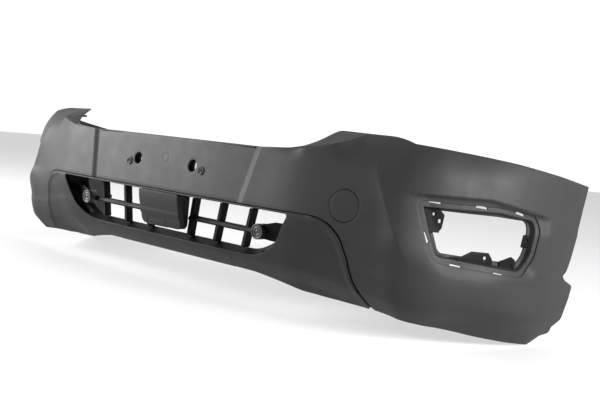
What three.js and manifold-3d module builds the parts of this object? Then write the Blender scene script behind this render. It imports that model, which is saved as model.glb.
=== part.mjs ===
// Front bumper cover of a mid-size pickup or SUV, with its lower valance, grille insert and brackets.
// Millimetres. +Z is up, -Y is the front of the vehicle, +X is the left-hand end of the cover as mounted.
// The skin is described by s, the distance along its plan curve from the centre line, and by the height z.
import * as THREE from 'three';
import { mergeVertices } from 'three/addons/utils/BufferGeometryUtils.js';
import Module from 'manifold-3d';

const wasm = await Module();
wasm.setup();

// ---------- driving dimensions ----------
const SKIN = 3.6;              // wall thickness of the mouldings
const VALANCE_BACK = 4;        // the valance's inner face, which lies a little deeper than the cover's
const GAP = 0.35;              // clearance between neighbouring pieces
const THROUGH = 60;            // reach of a cutter that goes right through a wall and its ledges
const OUTSIDE = 30;            // reach of a clearance in front of the skin
const BELT_Z = -80;            // height at which the plan curve is drawn: the fullest line of the cover

// Plan curve of the belt line, right half, from the centre line round the corner to the wheel arch.
const BELT = [[0, -18], [170, -17.5], [330, -11], [478, -4.7], [592, 18.9], [700, 48.4], [770, 66.5],
  [828, 114], [866, 190], [905, 300], [925, 430], [936, 580], [942, 760]];

// Edges of the skin as (s, z) pairs, right half.
const TOP_EDGE = [[0, 71], [348, 71], [447, 77], [484, 85], [518, 103], [549, 131], [638, 129], [711, 128],
  [731, 123], [763, 116], [900, 109], [997, 101], [1109, 91], [1150, 86]];
const SEAM_END = 706;          // the seam meets the lower edge here
const SEAM = [[0, -76], [518, -76], [549, -76.5], [575, -81], [600, -93], [626, -118], [645, -165],
  [661, -218], [SEAM_END, -284]];
const SILL_EDGE = [[SEAM_END, -284], [911, -307], [1025, -329], [1150, -349]];
const VALANCE_END = 700;       // the valance runs out here, just short of the seam's end
const VALANCE_EDGE = [[0, -252], [250, -254], [320, -256], [390, -267], [463, -281], [560, -285],
  [SEAM_END, -285]];
// Rear edge from the bottom tip up past the wheel-arch notch to the top corner.
const REAR_EDGE = [[1229, -359], [1285, -341], [1326, -338], [1329, -317], [1358, -300], [1400, -240],
  [1412, -217], [1352, -195], [1367, -143], [1377, -69], [1405, -12], [1437, 49]];

// Grid columns of the right half: those of the front are shared by the cover and the valance, and the rear
// ones lean over, in these shares of the way, to meet the rear edge.
const FRONT_COLUMNS = [0, 90, 180, 260, 322, 344, 395, 447, 484, 518, 549, 575, 600, 626, 645, 661, 683,
  VALANCE_END];
const SIDE_COLUMNS = [SEAM_END, 731, 763, 790, 815, 845, 885, 930, 975, 1030, 1090, 1150];
const REAR_SHARES = [0.25, 0.45, 0.62, 0.76, 0.89, 1];

// Recessed plate panel between the two slanted bands.
const PANEL_RECESS = 7;
const BAND_OUTER = 344;        // s of the band's outer edge at z = 0
const BAND_INNER = 322;
const BAND_LEAN = 0.22;        // both edges lean outwards by this much per mm of height
const BAND_REACH = 100;        // the grid columns within this distance of the band lean with it

// Crease of the chamfer under each wing's inner top edge, where the headlamp and the grille meet.
const WING_CHAMFER = [[440, 76], [519, 84], [561, 92], [600, 104], [640, 130]];

// The side flares outwards: towards its rear top corner the skin is drawn in, by up to this share of the way,
// to a point ahead of the corner.
const FLARE = { centre: [1814, -1484, 101], share: 0.052, from: 800, to: 1400, bottom: -420, top: -260 };

// Pocket around the fog-lamp opening, the lip of the opening, and the clear opening: corners with radii.
const POCKET = [[762, 6, 12], [1000, 4, 200], [1238, -34, 50], [1216, -196, 40], [815, -174, 25]];
const POCKET_DEPTH = 11;
const POCKET_BEVEL = 34;
const FOG_LIP = [[800, -10, 12], [1050, -14, 250], [1206, -34, 40], [1184, -188, 68], [848, -144, 32]];
const FOG_CLEAR = [[858, -31, 10], [1050, -37, 250], [1177, -47, 22], [1163, -138, 38], [868, -114, 20]];
const LEDGE_DEPTH = 21;
const LEDGE_WALL = 3;
const PLATE_STEP = 40;         // grid step of the small plates that follow the skin

// Intake opening in the valance, and the duct that runs back from it.
const INTAKE = [[-480, -82, 6], [480, -82, 6], [434, -166, 100], [360, -207, 150], [-360, -207, 150],
  [-434, -166, 100]];
const DUCT_BACK = [[-437, -90, 6], [437, -90, 6], [404, -162, 80], [340, -193, 110], [-340, -193, 110],
  [-404, -162, 80]];
const DUCT_END_Y = 56;
const DUCT_WALL = 3;
const DUCT_FLANGE = { width: 9, thickness: 4 };
// Upright slats as [x at the top, x at the bottom] of the duct's back edge.
const SLATS = [[-322, -302], [-211, -194], [-100, -88], [100, 88], [211, 194], [322, 302]];
const SLAT = { width: 13, front: 30, back: 54, top: -90, bottom: -192 };
const BLADE = { from: 102, to: 470, front: 32, back: 46, bottom: -151, top: -137 };
// Round boss on an arm that reaches in from the duct's side wall, with a rib under the arm.
const POST = { x: 370, z: -141, radius: 20, wall: 3, front: 8, back: 40 };
const POST_ARM = { front: 14, back: 18, bottom: -156, top: -124 };
const POST_RIB = { front: 14, back: 40, bottom: -142, top: -138 };

// Sensor cover in the middle of the intake: heights of its folds, its two cheeks and its hatch.
const SENSOR = { half: 85, rows: [-180, -158, -151, -136, -112, -85], cheek: 3, wall: 3 };
const HATCH = { left: -57, right: 25, bottom: -177, top: -160 };

// Round features of the front face.
const TOW = { s: 627, z: -44, radius: 37.5, gap: 0.8, seatWidth: 4, seatDepth: 8, wall: 3, shelf: 6 };
const PLATE_HOLE = { x: 118, z: 0, radius: 16.5, wall: 3, collar: 25 };
const ANCHOR = { x: 154.7, z: -9.5, radius: 11.5, shank: 6.5, bore: 2.6, length: 16 };

// Top flange that hangs the cover on the vehicle's front panel, and sill flange under the valance. The
// faces that others rest on are the top of the one and the bottom of the other.
const TOP_FLANGE = { half: 330, front: 14, back: 62, bottom: 67, top: 71 };
const SILL_FLANGE = { half: 250, front: 66, back: 104, bottom: -254.5, top: -250.5 };

// Strip behind the cover's lower edge that the seam clips pass through. It reaches down behind the valance
// by the lap and up behind the cover by the rise.
const SEAM_LAP = 3.2;
const SEAM_RISE = 15;

// Guide rail behind the top edge of the side, where the wing panel hangs the cover.
const RAIL = { from: 960, to: 1370, edgeFrom: 103, edgeTo: 57.8, below: 34, above: 6, lip: 20 };
// Tab behind the wing's peak that the headlamp rests on.
const TAB = { from: 556, to: 624, bottom: 84, shelf: 104, top: 108, half: 16, reach: 44, step: 12, web: 3 };

// Fog-lamp brackets behind the ledge: outlines, and holes as [s, z, radius].
const BRACKET_WALL = 5;
const FOG_BRACKETS = {
  upper: {
    outline: [[812, -24], [866, -22], [888, -40], [882, -72], [872, -79], [830, -77]],
    holes: [[853, -39, 6], [874, -54, 5]],
  },
  lower: {
    outline: [[915, -137], [938, -131], [968, -119], [1022, -122], [1036, -137], [1080, -145], [1100, -137],
      [1122, -139], [1132, -165], [1050, -168], [940, -152]],
    holes: [[934, -142, 5], [1010, -136, 5], [1112, -154, 5]],
  },
  outer: {
    outline: [[1160, -76], [1190, -80], [1186, -112], [1150, -108]],
    holes: [[1172, -95, 5]],
  },
};

// ---------- materials ----------
const plastic = (color, roughness) => new THREE.MeshStandardMaterial({ color, roughness, metalness: 0 });
const PAINTED = plastic(0x4a4a4b, 0.55);
const VALANCE = plastic(0x3a3a3b, 0.62);
const BLACK = plastic(0x1b1b1c, 0.6);
const FIXING = plastic(0x2a2a2b, 0.5);

// ---------- skin surface ----------
const clamp01 = (t) => Math.min(1, Math.max(0, t));
const lerp = (a, b, t) => a + (b - a) * t;

function smooth(from, to, value) {
  const t = clamp01((value - from) / (to - from));
  return t * t * (3 - 2 * t);
}

function interpolate(table, at) {
  if (at <= table[0][0]) return table[0][1];
  for (let i = 1; i < table.length; i += 1) {
    const [x0, y0] = table[i - 1];
    const [x1, y1] = table[i];
    if (at <= x1) return y0 + ((y1 - y0) * (at - x0)) / (x1 - x0);
  }
  return table[table.length - 1][1];
}

const leftHalf = BELT.slice(1).reverse().map(([x, y]) => new THREE.Vector2(-x, y));
const rightHalf = BELT.map(([x, y]) => new THREE.Vector2(x, y));
const planCurve = new THREE.SplineCurve([...leftHalf, ...rightHalf]);
planCurve.arcLengthDivisions = 1600;
const planLength = planCurve.getLength();

function planAt(s) {
  const u = 0.5 + s / planLength;
  const point = planCurve.getPointAt(u);
  const tangent = planCurve.getTangentAt(u);
  return { point, normal: new THREE.Vector2(tangent.y, -tangent.x) };
}

// How much of the shoulder's roll the skin has at (a, z). The roll is round, except where the chamfer turns
// it into a plane from the crease to the top edge.
function shoulderShare(a, z) {
  const round = (height) => Math.max(0, (height - 40) / 80) ** 2;
  const [crease, top] = [interpolate(WING_CHAMFER, a), interpolate(TOP_EDGE, a)];
  const plane = round(top) * clamp01((z - crease) / Math.max(4, top - crease));
  const chamfered = smooth(440, 500, a) * (1 - smooth(570, 640, a));
  return lerp(round(z), plane, chamfered);
}

// How far the skin stands back from the belt line: it leans back above it, rolls over at the shoulder,
// and tucks under below it. Each rate runs from the front face to the corner and on to the side.
function setback(s, z) {
  const a = Math.abs(s);
  const corner = smooth(500, 820, a);
  const side = smooth(900, 1250, a);
  const blend = (front, bend, flank) => lerp(front, lerp(bend, flank, side), corner);
  const up = Math.max(0, z - BELT_Z);
  const down = Math.max(0, BELT_Z - z);
  const roll = smooth(380, 520, a) * blend(60, 18, 20) * shoulderShare(a, z);
  const tuck = 0.00254 * (1 - side) * down ** 2;
  const lean = blend(0.13, 0.08, 0.1) * up + blend(0, 0.0015, 0) * Math.max(0, up - 60) ** 2;
  return lean + roll + blend(0.041, -0.312, 0.1) * down + tuck;
}

// Exact arc that rounds the corner at here between two points, as a rational quadratic curve.
function cornerArc(start, here, end, half, steps) {
  return Array.from({ length: steps + 1 }, (_, k) => {
    const t = k / steps;
    const weights = [(1 - t) ** 2, 2 * t * (1 - t) * Math.sin(half), t ** 2];
    const sum = weights[0] + weights[1] + weights[2];
    return start.clone().multiplyScalar(weights[0])
      .addScaledVector(here, weights[1]).addScaledVector(end, weights[2]).divideScalar(sum);
  });
}

// Rounded outline in (s, z): each corner is [s, z, radius], listed clockwise from the upper left. The arcs
// and the straight sides are cut into the same number of steps, so that matching outlines pair up.
function roundedLoop(corners, { steps = 3, sides = 3, grow = 0, mirror = 1 } = {}) {
  const moved = offsetCorners(corners, grow);
  const loop = moved.flatMap(([s, z, radius], i) => {
    const here = new THREE.Vector2(s, z);
    const before = new THREE.Vector2(...moved[(i + moved.length - 1) % moved.length]).sub(here);
    const after = new THREE.Vector2(...moved[(i + 1) % moved.length]).sub(here);
    const half = Math.acos(before.dot(after) / (before.length() * after.length())) / 2;
    const reach = Math.min(radius / Math.tan(half), before.length() * 0.45, after.length() * 0.45);
    const start = here.clone().add(before.setLength(reach));
    const end = here.clone().add(after.setLength(reach));
    return cornerArc(start, here, end, half, steps);
  });
  return loop.flatMap((point, i) => {
    const next = loop[(i + 1) % loop.length];
    const pieces = i % (steps + 1) === steps ? sides : 1;
    const at = (k) => [mirror * lerp(point.x, next.x, k / pieces), lerp(point.y, next.y, k / pieces)];
    return Array.from({ length: pieces }, (_, k) => at(k));
  });
}

// Moves each side of a clockwise outline outwards by the same distance.
function offsetCorners(corners, grow) {
  return corners.map(([s, z, radius], i) => {
    const [s0, z0] = corners[(i + corners.length - 1) % corners.length];
    const [s1, z1] = corners[(i + 1) % corners.length];
    const inward = new THREE.Vector2(s - s0, z - z0).normalize();
    const onward = new THREE.Vector2(s1 - s, z1 - z).normalize();
    const sum = new THREE.Vector2(-inward.y - onward.y, inward.x + onward.x);
    const stretch = (2 * grow) / Math.max(0.2, sum.lengthSq());
    return [s + sum.x * stretch, z + sum.y * stretch, Math.max(1, radius + grow)];
  });
}

function circleLoop(s, z, radius, count = 18) {
  return Array.from({ length: count }, (_, k) => {
    const angle = (-2 * Math.PI * k) / count;
    return [s + radius * Math.cos(angle), z + radius * Math.sin(angle)];
  });
}

// Signed distance from (s, z) to a closed loop, positive inside.
function insideDistance(loop, s, z) {
  let nearest = Infinity;
  let inside = false;
  loop.forEach(([s0, z0], i) => {
    const [s1, z1] = loop[(i + 1) % loop.length];
    const [ds, dz] = [s1 - s0, z1 - z0];
    const t = clamp01(((s - s0) * ds + (z - z0) * dz) / (ds ** 2 + dz ** 2));
    nearest = Math.min(nearest, Math.hypot(s - s0 - t * ds, z - z0 - t * dz));
    if ((z0 > z) !== (z1 > z) && s < s0 + ((z - z0) * (s1 - s0)) / (z1 - z0)) inside = !inside;
  });
  return inside ? nearest : -nearest;
}

const pocketLoop = roundedLoop(POCKET, { sides: 1 });

// Depth of the moulded-in features at (s, z): plate panel and fog pocket.
function relief(s, z) {
  const a = Math.abs(s);
  const fromBand = (BAND_OUTER + BAND_LEAN * z - a) / (BAND_OUTER - BAND_INNER);
  const panel = z > SEAM[0][1] - 1 ? PANEL_RECESS * clamp01(fromBand) : 0;
  const nearPocket = a > POCKET[0][0] - POCKET_BEVEL && a < POCKET[2][0] + POCKET_BEVEL;
  const pocket = nearPocket ? POCKET_DEPTH * smooth(0, POCKET_BEVEL, insideDistance(pocketLoop, a, z)) : 0;
  return panel + pocket;
}

function skinPoint(s, z, depth = 0) {
  const { point, normal } = planAt(s);
  const back = setback(s, z) + relief(s, z) + depth;
  const [x, y, height] = FLARE.centre;
  const share = FLARE.share * smooth(FLARE.from, FLARE.to, Math.abs(s)) * smooth(FLARE.bottom, FLARE.top, z);
  return [lerp(point.x - normal.x * back, Math.sign(s) * x, share),
    lerp(point.y - normal.y * back, y, share), lerp(z, height, share)];
}

// ---------- solids ----------
// Makes a closed solid from points and triangles, turning it inside out when its faces point inwards.
function solid(points, triangles) {
  const corners = points.map((point) => new THREE.Vector3(...point));
  const cross = new THREE.Vector3();
  const volume = triangles.reduce((sum, [a, b, c]) => (
    sum + corners[a].dot(cross.crossVectors(corners[b], corners[c]))), 0);
  const faces = volume < 0 ? triangles.map(([a, b, c]) => [a, c, b]) : triangles;
  const vertProperties = new Float32Array(points.flat());
  const triVerts = new Uint32Array(faces.flat());
  return new wasm.Manifold(new wasm.Mesh({ numProp: 3, vertProperties, triVerts }));
}

function fromGeometry(geometry) {
  geometry.deleteAttribute('normal');
  geometry.deleteAttribute('uv');
  const merged = mergeVertices(geometry, 1e-4);
  const vertProperties = new Float32Array(merged.attributes.position.array);
  const triVerts = new Uint32Array(merged.index.array);
  return new wasm.Manifold(new wasm.Mesh({ numProp: 3, vertProperties, triVerts }));
}

function box(x0, x1, y0, y1, z0, z1) {
  const geometry = new THREE.BoxGeometry(x1 - x0, y1 - y0, z1 - z0);
  return fromGeometry(geometry.translate((x0 + x1) / 2, (y0 + y1) / 2, (z0 + z1) / 2));
}

function barrel(x, z, radius, y0, y1, sides = 18) {
  const geometry = new THREE.CylinderGeometry(radius, radius, y1 - y0, sides);
  return fromGeometry(geometry.translate(x, (y0 + y1) / 2, z));
}

// A ring-shaped solid through equal-length loops of points: the first loop follows the last one.
function sleeve(loops) {
  const count = loops[0].length;
  const triangles = [];
  loops.forEach((_, row) => {
    const next = (row + 1) % loops.length;
    for (let k = 0; k < count; k += 1) {
      const k1 = (k + 1) % count;
      const [a, b, c, d] = [row * count + k, row * count + k1, next * count + k1, next * count + k];
      triangles.push([a, b, c], [a, c, d]);
    }
  });
  return solid(loops.flat(), triangles);
}

// A solid between two equal-length loops of points, both capped the way their flat outline divides.
function capped(front, back, outline) {
  const count = outline.length;
  const flat = outline.map(([across, up]) => new THREE.Vector2(across, up));
  const caps = THREE.ShapeUtils.triangulateShape(flat, []);
  const clockwise = THREE.ShapeUtils.isClockWise(flat);
  const triangles = caps.flatMap(([a, b, c]) => [[a, b, c], [a + count, c + count, b + count]]);
  for (let k = 0; k < count; k += 1) {
    const k1 = (k + 1) % count;
    const [a, b] = clockwise ? [k1, k] : [k, k1];
    triangles.push([b, a, b + count], [a, a + count, b + count]);
  }
  return solid([...front, ...back], triangles);
}

// A plate or cutter between two depths behind the skin, its outline given in (s, z).
function patch(loop, frontDepth, backDepth) {
  const front = loop.map(([s, z]) => skinPoint(s, z, frontDepth));
  const back = loop.map(([s, z]) => skinPoint(s, z, backDepth));
  return capped(front, back, loop);
}

// The same between two loops of points, seen from the front.
function plug(front, back) {
  return capped(front, back, front.map(([x, , z]) => [x, z]));
}

// The same between two outlines: a rim, ledge or return wall that follows the skin.
function rim(outer, inner, frontDepth, backDepth) {
  const at = (loop, depth) => loop.map(([s, z]) => skinPoint(s, z, depth));
  return sleeve([at(outer, frontDepth), at(outer, backDepth), at(inner, backDepth), at(inner, frontDepth)]);
}

// A skin of even wall thickness over a grid of (s, z) columns.
function shell(columns, frontDepth = 0, backDepth = SKIN) {
  const rows = columns[0].length;
  const grid = (depth) => columns.flatMap((column) => column.map(([s, z]) => skinPoint(s, z, depth)));
  const total = columns.length * rows;
  const triangles = [];
  const quad = (a, b, c, d) => triangles.push([a, b, c], [a, c, d]);
  const id = (i, j) => i * rows + j;
  for (let i = 0; i + 1 < columns.length; i += 1) {
    for (let j = 0; j + 1 < rows; j += 1) {
      quad(id(i, j), id(i + 1, j), id(i + 1, j + 1), id(i, j + 1));
      quad(total + id(i, j), total + id(i, j + 1), total + id(i + 1, j + 1), total + id(i + 1, j));
    }
    quad(id(i, 0), total + id(i, 0), total + id(i + 1, 0), id(i + 1, 0));
    quad(id(i, rows - 1), id(i + 1, rows - 1), total + id(i + 1, rows - 1), total + id(i, rows - 1));
  }
  const last = columns.length - 1;
  for (let j = 0; j + 1 < rows; j += 1) {
    quad(id(0, j), id(0, j + 1), total + id(0, j + 1), total + id(0, j));
    quad(id(last, j), total + id(last, j), total + id(last, j + 1), id(last, j + 1));
  }
  return solid([...grid(frontDepth), ...grid(backDepth)], triangles);
}

// A plate that follows the skin closely, cut out to an outline in (s, z).
function plate(loop, frontDepth, backDepth) {
  const range = (axis) => {
    const values = loop.map((point) => point[axis]);
    const [low, high] = [Math.min(...values) - 1, Math.max(...values) + 1];
    const steps = Math.max(1, Math.round((high - low) / PLATE_STEP));
    return Array.from({ length: steps + 1 }, (_, k) => lerp(low, high, k / steps));
  };
  const columns = range(0).map((s) => range(1).map((z) => [s, z]));
  return shell(columns, frontDepth, backDepth).intersect(patch(loop, frontDepth - 50, backDepth + 50));
}

// Grid columns of the right half, continued over the left half.
function bothHalves(right) {
  const left = right.slice(1).reverse().map((column) => column.map(([s, z]) => [-s, z]));
  return [...left, ...right];
}

const mirrored = (part) => part.mirror([1, 0, 0]);
const side = (part, sign) => (sign > 0 ? part : mirrored(part));

// ---------- upper cover ----------
const lowEdge = (s) => interpolate([...SEAM, ...SILL_EDGE.slice(1)], s);

// Row heights as shares of the edge, spread like the points of the rear edge so that its notch keeps its
// shape, and never closer than the least step.
function rowShares() {
  const least = 0.03;
  const low = REAR_EDGE[0][1];
  const high = REAR_EDGE[REAR_EDGE.length - 1][1];
  let previous = -least;
  return REAR_EDGE.map(([, z]) => {
    previous = Math.min(1, Math.max(previous + least, (z - low) / (high - low)));
    return previous;
  });
}

// How far a front column leans out at height z to follow the band's edges.
function columnLean(s, z) {
  const middle = (BAND_INNER + BAND_OUTER) / 2;
  const outside = Math.max(0, Math.abs(s - middle) - (BAND_OUTER - middle));
  return BAND_LEAN * z * clamp01(1 - outside / BAND_REACH);
}

function coverColumns(seamGap) {
  const shares = rowShares();
  const front = [...FRONT_COLUMNS, ...SIDE_COLUMNS].map((s) => shares.map((share) => {
    const low = lowEdge(s) + (s < SEAM_END ? seamGap : 0);
    const z = lerp(low, interpolate(TOP_EDGE, s), share);
    return [s + columnLean(s, z), z];
  }));
  const rear = REAR_SHARES.map((share) => REAR_EDGE.map(([s, z], j) => {
    const [startS, startZ] = front[front.length - 1][j];
    return [lerp(startS, s, share), lerp(startZ, z, share)];
  }));
  return bothHalves([...front, ...rear]);
}

// Everything outside the inner face of the cover, plus the clearance that pieces behind it keep.
const coverClearance = shell(coverColumns(0), -OUTSIDE, SKIN + GAP);

// Wall and ledge round the fog-lamp opening: its outline in three sizes.
function fogSurround(sign) {
  const outer = roundedLoop(FOG_LIP, { grow: LEDGE_WALL, mirror: sign });
  const lip = roundedLoop(FOG_LIP, { mirror: sign });
  const clear = roundedLoop(FOG_CLEAR, { mirror: sign });
  return rim(outer, lip, 1, LEDGE_DEPTH).add(rim(outer, clear, LEDGE_DEPTH - LEDGE_WALL, LEDGE_DEPTH));
}

// The same surround with its clearance, filled from the front.
function ledgeClearance(sign) {
  const outer = roundedLoop(FOG_LIP, { grow: LEDGE_WALL + GAP, mirror: sign });
  const inner = roundedLoop(FOG_CLEAR, { grow: -GAP, mirror: sign });
  return rim(outer, inner, 0, LEDGE_DEPTH + GAP);
}

function towSeat() {
  const at = (grow) => circleLoop(TOW.s, TOW.z, TOW.radius + grow);
  const back = TOW.seatDepth + TOW.wall;
  const wall = rim(at(TOW.seatWidth), at(TOW.gap), 2, back);
  return wall.add(rim(at(TOW.seatWidth), at(-TOW.shelf), TOW.seatDepth, back));
}

function plateCollar(x) {
  const { z, radius, wall, collar } = PLATE_HOLE;
  const face = skinPoint(x, z)[1];
  const tube = barrel(x, z, radius + wall, face + 1, face + collar);
  return tube.subtract(barrel(x, z, radius, face - THROUGH, face + THROUGH));
}

function upperCover() {
  let cover = shell(coverColumns(GAP));
  for (const sign of [1, -1]) {
    const fogHole = roundedLoop(FOG_LIP, { grow: LEDGE_WALL / 2, mirror: sign });
    const x = sign * PLATE_HOLE.x;
    const plateHole = barrel(x, PLATE_HOLE.z, PLATE_HOLE.radius + PLATE_HOLE.wall / 2, -THROUGH, THROUGH);
    const anchorHole = barrel(sign * ANCHOR.x, ANCHOR.z, ANCHOR.shank + GAP, -THROUGH, THROUGH);
    cover = cover.subtract(patch(fogHole, -THROUGH, THROUGH)).add(fogSurround(sign));
    cover = cover.subtract(plateHole).add(plateCollar(x)).subtract(anchorHole);
  }
  const towHole = circleLoop(TOW.s, TOW.z, TOW.radius + (TOW.gap + TOW.seatWidth) / 2);
  cover = cover.subtract(patch(towHole, -OUTSIDE, OUTSIDE)).add(towSeat());
  const { half, front, back, bottom, top } = TOP_FLANGE;
  return cover.add(box(-half, half, front - 6, back, bottom, top));
}

// ---------- lower valance ----------
function valanceColumns() {
  const shares = [0, 0.2, 0.4, 0.6, 0.8, 1];
  const least = 3;
  const right = FRONT_COLUMNS.map((s) => shares.map((share) => {
    const top = interpolate(SEAM, s) - GAP;
    const low = Math.min(interpolate(VALANCE_EDGE, s), top - least);
    return [s, lerp(low, top, share)];
  }));
  return bothHalves(right);
}

// Everything outside the inner face of the valance, plus the clearance that pieces behind it keep.
const valanceClearance = shell(valanceColumns(), -OUTSIDE, VALANCE_BACK + GAP);

// Towards the seam's end, where it turns down, the strip leans sideways and gets shorter.
function seamFlange() {
  const turn = 560;
  const right = FRONT_COLUMNS.filter((s) => s <= 661).map((s) => {
    const sideways = Math.max(0, s - turn) * 0.16;
    const rise = (step) => {
      const share = (step + SEAM_LAP) / (SEAM_RISE + SEAM_LAP);
      return [s + sideways * share, interpolate(SEAM, s) + step * (1 - sideways * 0.03)];
    };
    return [-SEAM_LAP, -2.2, -0.8, SEAM_RISE].map(rise);
  });
  return shell(bothHalves(right), VALANCE_BACK - 2, VALANCE_BACK + SKIN).subtract(coverClearance);
}

function lowerValance() {
  const { half, front, back, bottom, top } = SILL_FLANGE;
  const skin = shell(valanceColumns(), VALANCE_BACK - SKIN, VALANCE_BACK);
  const opened = skin.subtract(patch(roundedLoop(INTAKE, { sides: 6 }), -2 * THROUGH, 2 * THROUGH));
  return opened.add(seamFlange()).add(box(-half, half, front, back, bottom, top));
}

// ---------- grille insert ----------
const DUCT_FRONT = VALANCE_BACK + GAP;

function intakeAt(depth, grow) {
  return roundedLoop(INTAKE, { sides: 6, grow }).map(([s, z]) => skinPoint(s, z, depth));
}

function ductBackAt(grow) {
  return roundedLoop(DUCT_BACK, { sides: 6, grow }).map(([x, z]) => [x, DUCT_END_Y, z]);
}

// Flange behind the valance and duct running back from it, with its inner face just inside the intake.
function grilleDuct() {
  const { width, thickness } = DUCT_FLANGE;
  const back = DUCT_FRONT + thickness;
  return sleeve([intakeAt(DUCT_FRONT, width), intakeAt(back, width), intakeAt(back, DUCT_WALL),
    ductBackAt(DUCT_WALL), ductBackAt(0), intakeAt(DUCT_FRONT, 0)]);
}

// The flange stops below the strip behind the seam.
function grilleFrame() {
  const aboveSeam = FRONT_COLUMNS.slice(0, 10).map((s) => {
    const low = interpolate(SEAM, s) - SEAM_LAP - GAP;
    return [[s, low], [s, low + 40]];
  });
  return grilleDuct().subtract(shell(bothHalves(aboveSeam), -10, 40)).subtract(valanceClearance);
}

// The bars end at the clearance inside the duct's inner wall.
const ductSpace = plug(intakeAt(DUCT_FRONT, -GAP), ductBackAt(-GAP));
const insideDuct = (part) => part.intersect(ductSpace);

// A leaning upright that is longer than the duct is high at both ends.
function slatBar([topX, bottomX]) {
  const { width, front, back, top, bottom } = SLAT;
  const spare = 22;
  const lean = (topX - bottomX) / (top - bottom);
  const at = (z, step) => [topX + lean * (z - top) + step * (width / 2), z];
  const ends = [at(top + spare, -1), at(top + spare, 1), at(bottom - spare, 1), at(bottom - spare, -1)];
  const lay = (y) => ends.map(([x, z]) => [x, y, z]);
  return plug(lay(front), lay(back));
}

function bladeBar(sign, grow = 0) {
  const { from, to, front, back, bottom, top } = BLADE;
  return side(box(from, to, front - grow, back + grow, bottom - grow, top + grow), sign);
}

function grilleBlade(sign) {
  const post = side(barrel(POST.x, POST.z, POST.radius + 1, -THROUGH, 2 * THROUGH), sign);
  const arm = side(box(POST.x, BLADE.to, -THROUGH, 2 * THROUGH, BLADE.bottom - 5, BLADE.top + 5), sign);
  return insideDuct(bladeBar(sign).subtract(post).subtract(arm));
}

function grilleSlat(ends) {
  return insideDuct(slatBar(ends).subtract(bladeBar(Math.sign(ends[0]), GAP)));
}

function grillePost(sign) {
  const { x, z, radius, wall, front, back } = POST;
  const reach = ({ front: y0, back: y1, bottom, top }) => box(x, BLADE.to, y0, y1, bottom, top);
  const cup = barrel(x, z, radius - wall, front + wall, back + wall);
  const boss = barrel(x, z, radius, front, back);
  return insideDuct(side(boss.add(reach(POST_ARM)).add(reach(POST_RIB)).subtract(cup), sign));
}

function hatchOutline(grow) {
  const { left, right, bottom, top } = HATCH;
  return [[left - grow, top + grow], [right + grow, top + grow], [right + grow, bottom - grow],
    [left - grow, bottom - grow]];
}

function sensorCover() {
  const { half, rows, cheek, wall } = SENSOR;
  const across = (steps) => steps.map((step) => rows.map((z) => [step * half, z]));
  const face = shell(across([-1, -0.6, 0, 0.6, 1]), 0, wall);
  const cheekAt = (x) => box(x - cheek / 2, x + cheek / 2, -OUTSIDE, SLAT.front - GAP, rows[0] + 2, -92);
  const behind = shell(across([-1, 1]), wall / 2, 2 * THROUGH);
  const cheeks = cheekAt(half - cheek).add(cheekAt(cheek - half)).intersect(behind);
  return face.add(cheeks).subtract(patch(hatchOutline(GAP), -5, 20));
}

const sensorHatch = () => plate(hatchOutline(0), 0.8, 3.4);

// ---------- fog-lamp brackets ----------
function fogBracket({ outline, holes }, sign) {
  const flip = (loop) => loop.map(([s, z]) => [sign * s, z]);
  const front = LEDGE_DEPTH + GAP;
  const blank = plate(flip(outline), front, front + BRACKET_WALL).subtract(ledgeClearance(sign));
  const drill = ([s, z, radius]) => patch(flip(circleLoop(s, z, radius, 8)), front - 6, front + 12);
  return holes.reduce((whole, hole) => whole.subtract(drill(hole)), blank);
}

// ---------- other pieces ----------
// Disc with a plain ring behind it, which drops into the seat.
function towEyeCover() {
  const at = (radius) => circleLoop(TOW.s, TOW.z, radius);
  return plate(at(TOW.radius), 0, 3).add(rim(at(26), at(22.5), 2, 14));
}

// Expanding anchor with a flange on the face of the cover and a blind bore for the plate's screw.
function plateAnchor(x) {
  const { z, radius, shank, bore, length } = ANCHOR;
  const face = skinPoint(x, z)[1];
  const flange = barrel(x, z, radius, face - 3.6, face - 1.4);
  const stem = barrel(x, z, shank, face - 2, face + length);
  return flange.add(stem).subtract(barrel(x, z, bore, face - 10, face + length - 3, 12));
}

function sideRail(sign) {
  const { from, to, edgeFrom, edgeTo, below, above, lip } = RAIL;
  const shares = [0, 1, 2, 3, 4, 5, 6].map((k) => k / 6);
  const strip = (low, high) => shares.map((share) => {
    const [s, edge] = [lerp(from, to, share), lerp(edgeFrom, edgeTo, share)];
    return [[s, edge - low], [s, edge - high]];
  });
  const rail = shell(strip(below, above), SKIN + 1, SKIN + 5);
  const shelf = shell(strip(lip + 2, lip - 2), SKIN + 3, SKIN + 20);
  return side(rail.add(shelf), sign).subtract(coverClearance);
}

// The shelf's flat top is what the lamp rests on, so the foot in front of it stays lower.
function headlampTab(sign) {
  const { from, to, bottom, shelf, top, half, reach, step, web } = TAB;
  const middle = (from + to) / 2;
  const depth = SKIN + 4;
  const rows = [0, 0.35, 0.7, 0.85, 1].map((share) => lerp(bottom, top - 1, share));
  const foot = shell([from, middle, to].map((s) => rows.map((z) => [s, z])), depth, depth + 4);
  const [x, y] = skinPoint(middle, top, depth);
  const columns = [from, middle, to].map((s) => [...rows, top + 1].map((z) => [s, z]));
  const plate = (start, low, high) => box(x - half, x + half, y - half, y + reach, low, high)
    .intersect(shell(columns, depth + start, 2 * THROUGH));
  const tongue = plate(step, shelf, top).add(plate(2.5, shelf - web, shelf));
  return side(foot.add(tongue), sign).subtract(coverClearance);
}

// ---------- assembly ----------
const assembly = new THREE.Group();

function place(name, manifold, material, parent) {
  const { vertProperties, triVerts, numProp } = manifold.getMesh();
  const geometry = new THREE.BufferGeometry();
  geometry.setAttribute('position', new THREE.BufferAttribute(vertProperties, numProp));
  geometry.setIndex(new THREE.BufferAttribute(triVerts, 1));
  const mesh = new THREE.Mesh(geometry, material);
  mesh.name = name;
  parent.add(mesh);
}

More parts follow.
